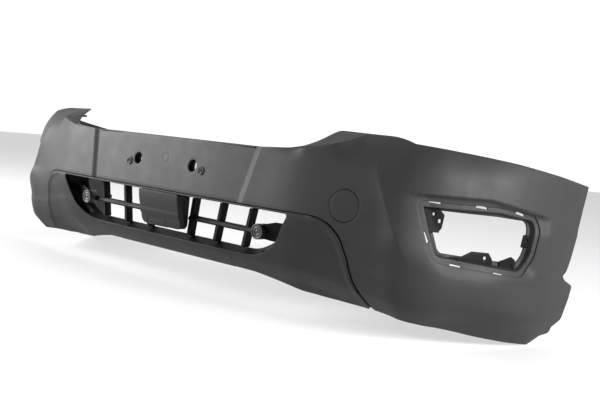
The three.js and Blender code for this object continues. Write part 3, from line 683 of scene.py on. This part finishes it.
def upper_cover():
    """The painted skin, and what is moulded on to it."""
    tow_s, tow_z, tow_radius = TOW
    hole_s, hole_z, hole_radius = PLATE_HOLE
    holes = [mirrored(rounded(FOG_LIP), sign) for sign in (1, -1)]
    holes += [circle(sign * hole_s, hole_z, hole_radius) for sign in (1, -1)]
    holes.append(circle(tow_s, tow_z, tow_radius + TOW_GAP, 96))
    skin = skin_plate(cover_outline(), holes, lines=feature_lines(), radius=1.3)
    piece = new_piece("cover_skin", *skin)
    finish_piece(piece, PRIMED, "primed_cover", "bumper", "upper_cover")
    for sign, side in ((1, "left"), (-1, "right")):
        fog_ledge(sign, side)
        plate_collar(sign, side)
    tow_seat()
    flange("top_flange", TOP_FLANGE, PRIMED, "primed_cover")
    plate_mark()


def slot_loop(ends, sign):
    """Outline of a clip slot, a flat bar with slanted ends."""
    a, b = (np.array(end, float) for end in ends)
    run = (b - a) / np.linalg.norm(b - a)
    across = np.array([-run[1], run[0]]) * SLOT_HALF
    slant = run * SLOT_SLANT
    corners = [a + across + slant, b + across - slant, b - across, a - across]
    points = []
    for k, corner in enumerate(corners):
        points += [corner + (corners[(k + 1) % 4] - corner) * t for t in (0, 0.25, 0.5, 0.75)]
    return mirrored(np.array(points), sign)


def fog_ledge(sign, side):
    """Stepped return round the fog-lamp opening: the slotted lip, the drop behind it and the ledge."""
    slots = [slot_loop(ends, sign) for ends in SLOTS]
    outer = mirrored(rounded(FOG_LIP, grow=5), sign)
    inner = mirrored(rounded(FOG_LIP, grow=-LIP_WIDTH), sign)
    plate = skin_plate(outer, [inner] + slots, depth=LIP_DEPTH, wall=LIP_WALL, spacing=4, radius=1.2)
    finish_piece(new_piece(f"fog_lip_{side}", *plate), PRIMED, "primed_cover", "bumper")
    count = len(rounded(FOG_LIP))

    def lip_row(inward, deep):
        return on_skin(mirrored(even(rounded(FOG_LIP, grow=-inward), count), sign), deep)

    def clear_row(grow, deep):
        return on_skin(mirrored(even(rounded(FOG_CLEAR, grow=grow), count), sign), deep)

    # The drop from behind the lip, as distances inwards from its inner edge, and depths.
    drop = [(-3.0, 6.0), (0.4, 6.6), (1.0, 8.6), (2.0, 15.5), (3.4, 17.0)]
    front = [lip_row(LIP_WIDTH + inward, deep) for inward, deep in drop]
    edge = [clear_row(2.4, 17.4), clear_row(0.8, 17.6), clear_row(0, 18.4), clear_row(0, LEDGE_DEPTH - 0.4)]
    back = [clear_row(1.2, LEDGE_DEPTH), lip_row(LIP_WIDTH - 1.6, LEDGE_DEPTH - 1.5),
            lip_row(LIP_WIDTH - 4.0, 8.6), lip_row(LIP_WIDTH - 4.0, 6.2)]
    # The ledge belongs to the primed cover but takes the darker valance plastic: painted shade in the recess
    # behind the lip.
    ledge = new_piece(f"fog_ledge_{side}", *sleeve(front + edge + back))
    finish_piece(ledge, VALANCE, "primed_cover", "bumper")


def even(loop, count):
    """The loop as an exact number of points, evenly spaced, starting where it starts."""
    closed = np.vstack([loop, loop[:1]])
    length = lengths(closed)
    at = np.linspace(0, length[-1], count, endpoint=False)
    return np.stack([np.interp(at, length, closed[:, k]) for k in (0, 1)], 1)


def round_ring(name, s, z, rows, count, material, slot, body="bumper"):
    """A turned ring on the skin: rows of radius and depth."""
    piece = new_piece(name, *sleeve([on_skin(circle(s, z, radius, count), deep) for radius, deep in rows]))
    return finish_piece(piece, material, slot, body)


def plate_collar(sign, side):
    """Collar that runs back from a plate hole, in black plastic as painted shade inside the hole."""
    s, z, radius = PLATE_HOLE
    rows = [(radius, 0.8), (radius, 24), (radius + 1, 25), (radius + 2.4, 25), (radius + 2.8, 2.6)]
    round_ring(f"plate_collar_{side}", sign * s, z, rows, 48, BLACK, "primed_cover")


def tow_seat():
    """Stepped seat in which the tow cap sits, in black plastic as painted shade in the gap round the cap."""
    s, z, radius = TOW
    rows = [(radius + 0.9, 2.2), (radius + 0.9, 8), (radius - 6, 8), (radius - 6, 11),
            (radius + 4, 11), (radius + 4, 2.6)]
    round_ring("tow_seat", s, z, rows, 72, BLACK, "primed_cover")


def flange(name, place, material, slot):
    """A level plate across the back of the skin."""
    half, front, back, z = place
    section = [(front, z), (back, z), (back, z - FLANGE_WALL), (front, z - FLANGE_WALL)]
    piece = bevelled(new_piece(name, *crosswise(section, -half, half)), 1.2)
    finish_piece(piece, material, slot, "bumper")


def plate_mark():
    """Plain raised ring above the number plate."""
    s, z, radius = PLATE_MARK
    rows = [(radius + 0.9, 0.1), (radius + 0.5, -0.35), (radius - 0.5, -0.35), (radius - 0.9, 0.1),
            (radius, 0.6)]
    round_ring("plate_mark", s, z, rows, 64, PRIMED, "primed_cover")


# ---------- lower valance ----------
def valance_outline():
    """Edge of the valance, which leaves a groove along the seam that widens at the side."""
    seam = resampled(SEAM)
    wider = smooth(530, 610, seam[:, 0]) * smooth(706, 670, seam[:, 0])
    groove = SEAM_GROOVE[0] + (SEAM_GROOVE[1] - SEAM_GROOVE[0]) * wider
    seam = seam - left_of(seam) * groove[:, None]
    end_s, end_z = VALANCE_EDGE[-1]
    seam = seam[(seam[:, 0] < end_s) & (seam[:, 1] > end_z + 1)]
    low = resampled(VALANCE_EDGE)
    low = low[low[:, 0] < seam[-1, 0] - 2]
    return both_halves(np.vstack([low, seam[::-1]]))


def valance_surface(loop, depth=0.0):
    """The skin with a rolled bead below the side runs of the seam."""
    loop = np.asarray(loop, float)
    a = np.abs(loop[:, 0])
    away = path_distance(SEAM[3:], np.stack([a, loop[:, 1]], 1))
    bead = SEAM_BEAD * (smooth(*BEAD_RISE, away) - smooth(*BEAD_FALL, away))
    return on_skin(loop, depth - bead * smooth(*SEAM_CORNER, a))


def lower_valance():
    """The valance round the intake, with the strip behind its seam and its flange."""
    lines = beside(SEAM[3:], (-21, -17, -13, -9.5, -6.5, -4))
    skin = skin_plate(valance_outline(), [rounded(INTAKE)], depth=0.4, lines=lines, surface=valance_surface,
                      radius=1.6)
    piece = new_piece("valance_skin", *skin)
    finish_piece(piece, VALANCE, "valance_plastic", "bumper", "lower_valance")
    seam_strip()
    flange("sill_flange", SILL_FLANGE, VALANCE, "valance_plastic")


def seam_strip():
    """Strip behind the seam, which closes the groove and reaches further down where the bead is. It is black:
    painted shade in the groove.
    """
    seam = resampled(SEAM, 8)[:-1]
    seam = np.vstack([mirrored(seam, -1)[::-1], seam[1:]])
    a = np.abs(seam[:, 0])
    low = -5.5 - 20 * smooth(545, 600, a) * smooth(698, 670, a)
    rows = [(low, 4.2), (10, 4.0), (10, 7.0), (low, 7.2)]
    up = left_of(seam)
    loops = [on_skin(seam + up * np.reshape(rise, (-1, 1)), deep) for rise, deep in rows]
    finish_piece(new_piece("seam_strip", *profile(loops)), BLACK, "valance_plastic", "bumper")


# ---------- grille insert ----------
def duct_hollow(x, z, share):
    """Depth of the hollows in each side wall, above and below the post's arm, at a share of the way back."""
    upper = smooth(-126, -118, z) * smooth(-92, -98, z)
    lower = smooth(-158, -166, z) * smooth(-198, -190, z)
    span = smooth(0.06, 0.14, share) * smooth(0.62, 0.50, share)
    return HOLLOW_DEPTH * (upper + lower) * span * smooth(*HOLLOW_X, np.abs(x))


def grille_frame():
    """Duct behind the intake: a flange behind the valance, and walls with hollows that run back."""
    count = 260
    outline = even(rounded(DUCT_BACK), count)
    outward = inset(outline, -1, True) - outline
    near = on_skin(even(rounded(INTAKE), count), DUCT_START + 0.6) / MM + ORIGIN
    far = np.column_stack([outline[:, 0], np.full(count, DUCT_END_Y - 0.6), outline[:, 1]])

    def flange_row(grow, deep):
        return on_skin(even(rounded(INTAKE, grow=grow), count), DUCT_START + deep)

    def wall_row(share, thick):
        row = near + (far - near) * share
        push = thick + duct_hollow(row[:, 0], row[:, 2], share)
        return placed(row + np.column_stack([outward[:, 0] * push, np.zeros(count), outward[:, 1] * push]))

    steps = np.linspace(0, 1, 30)
    rows = [wall_row(share, 0) for share in steps]
    rows += [wall_row(1.01, 0.8), wall_row(1.01, 2.0)]
    rows += [wall_row(share, 2.6) for share in steps[:0:-1]]
    rows += [flange_row(3.0, 3.4), flange_row(8, 3.4), flange_row(8.4, 2.8), flange_row(8.4, 0)]
    piece = new_piece("grille_duct", *sleeve(rows))
    finish_piece(piece, BLACK, "black_plastic", "bumper", "grille_frame")


def slat(number, top_x, bottom_x):
    """One upright, leaning between its x at z = -90 and at z = -192, with rounded front edges."""
    section = [(-1, SLAT_BACK), (1, SLAT_BACK), (1, SLAT_FRONT), (-1, SLAT_FRONT)]

    def end(z):
        middle = top_x + (top_x - bottom_x) * (z + 90) / 102
        return placed([(middle + side * SLAT_HALF, y, z) for side, y in section])

    foot = SLAT_FOOT if abs(top_x) < 300 else SLAT_FOOT_OUTER
    piece = bevelled(new_piece(f"slat_{number}", *prism(end(SLAT_TOP), end(foot))), 2.2, 3)
    finish_piece(piece, BLACK, "black_plastic", "bumper", f"grille_slat_{number}")


def blade(sign, side):
    """Crosswise bar through the slats; its face leans back and it has a rounded nose."""
    start, end = BLADE_ENDS
    piece = bevelled(new_piece(f"blade_{side}", *crosswise(BLADE, sign * start, sign * end)), 0.7)
    finish_piece(piece, BLACK, "black_plastic", "bumper", f"grille_blade_{side}")


def turned(name, x, z, rows, count, material, slot, *nodes):
    """A body turned about a line along y: rows of radius and y, with a flat face at each end."""
    angle = np.linspace(0, 2 * np.pi, count, endpoint=False)
    loops = [placed(np.column_stack([x + r * np.cos(angle), np.full(count, y), z + r * np.sin(angle)]))
             for r, y in rows]
    numbers = numbered(loops)
    faces = strips(numbers) + [tuple(numbers[0])[::-1], tuple(numbers[-1])]
    finish_piece(new_piece(name, np.vstack(loops), faces), material, slot, "bumper", *nodes)


def post(sign, side):
    """Round post beside the grille with rings in its face, its arm to the duct's wall, and three ribs."""
    x, z, radius = POST
    rows = [(0.5, 9.4), (4.6, 9.4), (5.2, 10.2), (6.4, 10.2), (7, 9.2), (12.4, 9.0), (13, 9.8), (14, 9.8),
            (14.6, 8.6), (radius - 1.6, 8.2), (radius - 0.4, 8.8), (radius, 10), (radius, POST_BACK),
            (radius - 3, POST_BACK), (radius - 3, 14), (0.5, 14)]
    turned(f"post_{side}", sign * x, z, rows, 56, FIXING, "black_plastic", f"grille_post_{side}")
    arm = [(x, 18, -124), (ARM_END - 22, 26, -112), (ARM_END, 34, -112), (ARM_END, 34, -160),
           (ARM_END - 26, 24, -160), (x, 16, -156)]
    front, back = (placed([(sign * px, py + wall, pz) for px, py, pz in arm]) for wall in (0, ARM_WALL))
    plate = bevelled(new_piece(f"post_arm_{side}", *prism(front, back)), 1.4, 3)
    finish_piece(plate, BLACK, "black_plastic", "bumper")
    for height in ARM_RIBS:
        section = [(27, height - 1.4), (42, height - 1.4), (42, height + 1.4), (27, height + 1.4)]
        rib = new_piece(f"post_rib_{side}", *crosswise(section, sign * (x + 14), sign * (x + 40)))
        finish_piece(bevelled(rib, 0.5), BLACK, "black_plastic", "bumper")


def sensor_surface(loop, depth=0.0):
    """The sensor cover's face: a shallow dish, an inclined step in line with the blades, a chin below."""
    loop = np.asarray(loop, float)
    z = loop[:, 1]
    step = -2.2 * smooth(-133, -139, z) + 3.4 * smooth(-147, -153, z) + 1.2
    return on_skin(loop, depth + step + 0.00022 * loop[:, 0] ** 2)


def sensor_cover():
    """Cover over the middle of the grille: its face, its cheeks, and a hatch's lid with its backing."""
    hatch_hole = rounded(HATCH, steps=4, grow=0.9)
    face = skin_plate(rounded(SENSOR), [hatch_hole], spacing=4, surface=sensor_surface, wall=2.6, radius=1.8)
    piece = new_piece("sensor_face", *face)
    finish_piece(piece, VALANCE, "valance_plastic", "bumper", "sensor_cover")
    count = 160
    outline = even(rounded(SENSOR, grow=-0.5), count)
    inner = even(rounded(SENSOR, grow=-3.0), count)

    def back_row(loop):
        return placed(np.column_stack([loop[:, 0], np.full(count, SENSOR_BACK_Y), loop[:, 1]]))

    rows = [sensor_surface(inner, 2.2), sensor_surface(outline, 1.7), back_row(outline), back_row(inner)]
    cheek = new_piece("sensor_cheeks", *sleeve(rows))
    finish_piece(cheek, VALANCE, "valance_plastic", "bumper")
    # Black backing behind the hatch's gap: painted shade in the groove round the lid.
    backing = skin_plate(rounded(HATCH, grow=5), depth=2.9, wall=1.5, spacing=6, surface=sensor_surface,
                         radius=0.5)
    finish_piece(new_piece("sensor_backing", *backing), BLACK, "black_plastic", "bumper")
    lid = skin_plate(rounded(HATCH, steps=4), depth=0.5, wall=2, spacing=4, surface=sensor_surface,
                     radius=0.6)
    finish_piece(new_piece("sensor_lid", *lid), VALANCE, "fixing_plastic", "bumper", "sensor_hatch")


# ---------- fixings ----------
def tow_cap():
    """Round cover over the towing eye, flush with the skin, and the hub behind it."""
    s, z, radius = TOW
    disc = skin_plate(circle(s, z, radius, 96), wall=2.8, spacing=5, radius=0.9)
    piece = new_piece("tow_disc", *disc)
    finish_piece(piece, PRIMED, "primed_cover", "tow_cap", "tow_eye_cover")
    rows = [(26, 2.4), (26, 13.5), (25.5, 14), (23, 14), (22.5, 13.5), (22.5, 2.4)]
    round_ring("tow_hub", s, z, rows, 72, PRIMED, "primed_cover", "tow_cap")


def plate_anchor(sign, side):
    """Expanding anchor for a number plate's screw: a ringed head and a sleeve."""
    s, z, radius = ANCHOR
    rows = [(3.0, 6), (3.2, -2.6), (4.6, -3.2), (5.8, -2.4), (6.2, -1.2), (7.8, -1.2), (8.4, -2.8),
            (9.6, -3.4), (radius - 0.6, -3.1), (radius, -2.2), (radius, 0.0), (6.3, 0.4), (6.3, 15),
            (5.4, 16), (3.0, 16)]
    piece = round_ring(f"anchor_{side}", sign * s, z, rows, 48, FIXING, "fixing_plastic")
    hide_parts(f"plate_anchor_{side}")


def strip_plate(name, path, rows, material, slot, *nodes):
    """A long profile behind the skin: rows of rise and depth carried along a path in (s, z)."""
    loops = [on_skin(path + [0, rise], deep) for rise, deep in rows]
    piece = bevelled(new_piece(name, *profile(loops)), 0.5)
    finish_piece(piece, material, slot, "bumper", *nodes)


def side_rail(sign, side):
    """Rail behind the wing's upper edge: a flat strip with a rib that runs back from it."""
    path = mirrored(np.linspace(*RAIL, 60), sign)
    rows = [(-7, 5), (-33, 5), (-33, 8.2), (-22, 8.2), (-22, 22), (-19, 22), (-19, 8.2), (-7, 8.2)]
    strip_plate(f"side_rail_{side}", path, rows, BLACK, "black_plastic", f"side_rail_{side}")


def headlamp_tab(sign, side):
    """Tab behind the wing's peak, on which the headlamp rests: a foot on the skin and a stepped shelf."""
    start, end, height = TAB_FOOT
    path = mirrored(np.linspace((start, height), (end, height), 16), sign)
    rows = [(0, 8), (-22.5, 8), (-22.5, 11.2), (0, 11.2)]
    strip_plate(f"tab_foot_{side}", path, rows, BLACK, "black_plastic", f"headlamp_tab_{side}")
    shelf = crosswise(TAB, sign * (TAB_MIDDLE - TAB_HALF), sign * (TAB_MIDDLE + TAB_HALF))
    piece = bevelled(new_piece(f"tab_shelf_{side}", *shelf), 1.2, 3)
    finish_piece(piece, BLACK, "black_plastic", "bumper")


# ---------- fog-lamp brackets ----------
def round_hole(s, z, radius):
    return circle(s, z, radius, 20)


def square_hole(s, z, half):
    corners = [(-half, half), (half, half), (half, -half), (-half, -half)]
    return rounded([(s + across, z + up, 1) for across, up in corners], steps=2, spacing=3)


def bracket(place, sign, side, outline, holes, depth=BRACKET_DEPTH):
    """A flat plate behind the fog-lamp ledge. All but the cup stand in for a bracket of the CAD."""
    outer = mirrored(rounded(outline, steps=3, spacing=5), sign)
    holes = [mirrored(hole, sign) for hole in holes]
    plate = skin_plate(outer, holes, depth=depth, wall=BRACKET_WALL, spacing=6, radius=0.8)
    nodes = [] if place == "cup" else [f"fog_bracket_{place}_{side}"]
    finish_piece(new_piece(f"bracket_{place}_{side}", *plate), BLACK, "black_plastic", "bumper", *nodes)


def leaning(place, sign, side, corners, wall=2.4):
    """A flat facet between four corners given as (s, z, depth)."""
    front = np.vstack([on_skin([(sign * s, z)], deep) for s, z, deep in corners])
    normal = np.cross(front[1] - front[0], front[3] - front[0])
    normal *= (1 if normal[0] * sign < 0 else -1) * wall * MM / np.linalg.norm(normal)
    piece = bevelled(new_piece(f"bracket_{place}_{side}", *prism(front, front + normal)))
    finish_piece(piece, BLACK, "black_plastic", "bumper")


def fog_brackets(sign, side):
    """Brackets that show through the fog-lamp opening, each with the holes for its fixings."""
    bracket("upper", sign, side, UPPER_BRACKET, [round_hole(854, -39, 3.4), square_hole(874, -54, 4)])
    leaning("upper_lip", sign, side, UPPER_FACET)
    bracket("lower", sign, side, LOWER_BRACKET, [round_hole(921, -142, 4), square_hole(1010, -135, 4.5)])
    leaning("tray", sign, side, TRAY_FACET)
    leaning("shelf", sign, side, SHELF_FACET)
    bracket("cup", sign, side, CUP, [round_hole(1116, -155, 4)], CUP_DEPTH)
    bracket("outer", sign, side, OUTER_BRACKET, [square_hole(1172, -95, 4)])


# ---------- camera, lamps and floor ----------
def turned_by(degrees, axis):
    return Matrix.Rotation(math.radians(degrees), 4, axis)


def camera():
    """Camera at the photograph's angle, with its roll."""
    data = bpy.data.cameras.new("camera")
    data.lens = LENS
    data.sensor_width = 36
    data.clip_end = 50
    view = bpy.data.objects.new("camera", data)
    bpy.context.collection.objects.link(view)
    turn = turned_by(CAMERA_AZIMUTH, "Z") @ turned_by(90 - CAMERA_DOWN, "X") @ turned_by(CAMERA_ROLL, "Z")
    view.matrix_world = Matrix.Translation(Vector(placed(CAMERA_AT))) @ turn
    bpy.context.scene.camera = view


def area_light(name, at, aim, size, power):
    data = bpy.data.lights.new(name, "AREA")
    data.shape = "RECTANGLE"
    data.size, data.size_y = size
    data.energy = power
    lamp = bpy.data.objects.new(name, data)
    lamp.location = at
    lamp.rotation_euler = (Vector(aim) - Vector(at)).to_track_quat("-Z", "Y").to_euler()
    bpy.context.collection.objects.link(lamp)


def surroundings():
    """Studio walls: bright behind the cover, dim on the camera's side, so that its near faces stay dark."""
    world = bpy.data.worlds.new("studio")
    world.use_nodes = True
    nodes, links = world.node_tree.nodes, world.node_tree.links
    place = nodes.new("ShaderNodeTexCoord")
    facing = nodes.new("ShaderNodeVectorMath")
    facing.operation = "DOT_PRODUCT"
    facing.inputs[1].default_value = WALLS_TOWARDS
    ramp = nodes.new("ShaderNodeValToRGB")
    for element, (at, value) in zip(ramp.color_ramp.elements, WALLS_BRIGHTNESS):
        element.position = at
        element.color = (value, value, value, 1)
    links.new(place.outputs["Generated"], facing.inputs[0])
    links.new(facing.outputs["Value"], ramp.inputs["Fac"])
    links.new(ramp.outputs["Color"], nodes["Background"].inputs["Color"])
    bpy.context.scene.world = world


def floor():
    """Pale floor just under the cover's lowest point, with a glow of its own that keeps it near white."""
    mesh = bpy.data.meshes.new("floor")
    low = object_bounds()[0][2] - 0.002
    corners = [(-1, -1), (1, -1), (1, 1), (-1, 1)]
    mesh.from_pydata([(x * FLOOR_HALF, y * FLOOR_HALF, low) for x, y in corners], [], [(0, 1, 2, 3)])
    ground = bpy.data.objects.new("floor", mesh)
    bpy.context.collection.objects.link(ground)
    pale = bpy.data.materials.new("floor")
    pale.use_nodes = True
    shader = pale.node_tree.nodes["Principled BSDF"]
    shader.inputs["Base Color"].default_value = (FLOOR_TONE, FLOOR_TONE, FLOOR_TONE, 1)
    shader.inputs["Roughness"].default_value = 0.9
    shader.inputs["Emission Color"].default_value = (1, 1, 1, 1)
    shader.inputs["Emission Strength"].default_value = FLOOR_GLOW
    ground.data.materials.append(pale)
    ground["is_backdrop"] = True


def studio():
    """Everything round the cover: walls, floor and lamps."""
    bpy.context.scene.view_settings.view_transform = "Standard"
    surroundings()
    floor()
    for lamp in LAMPS:
        area_light(*lamp)


upper_cover()
lower_valance()
grille_frame()
for number, (top_x, bottom_x) in enumerate(SLATS, 1):
    slat(number, top_x, bottom_x)
sensor_cover()
tow_cap()
for sign, side in ((1, "left"), (-1, "right")):
    blade(sign, side)
    post(sign, side)
    plate_anchor(sign, side)
    side_rail(sign, side)
    headlamp_tab(sign, side)
    fog_brackets(sign, side)
camera()
studio()
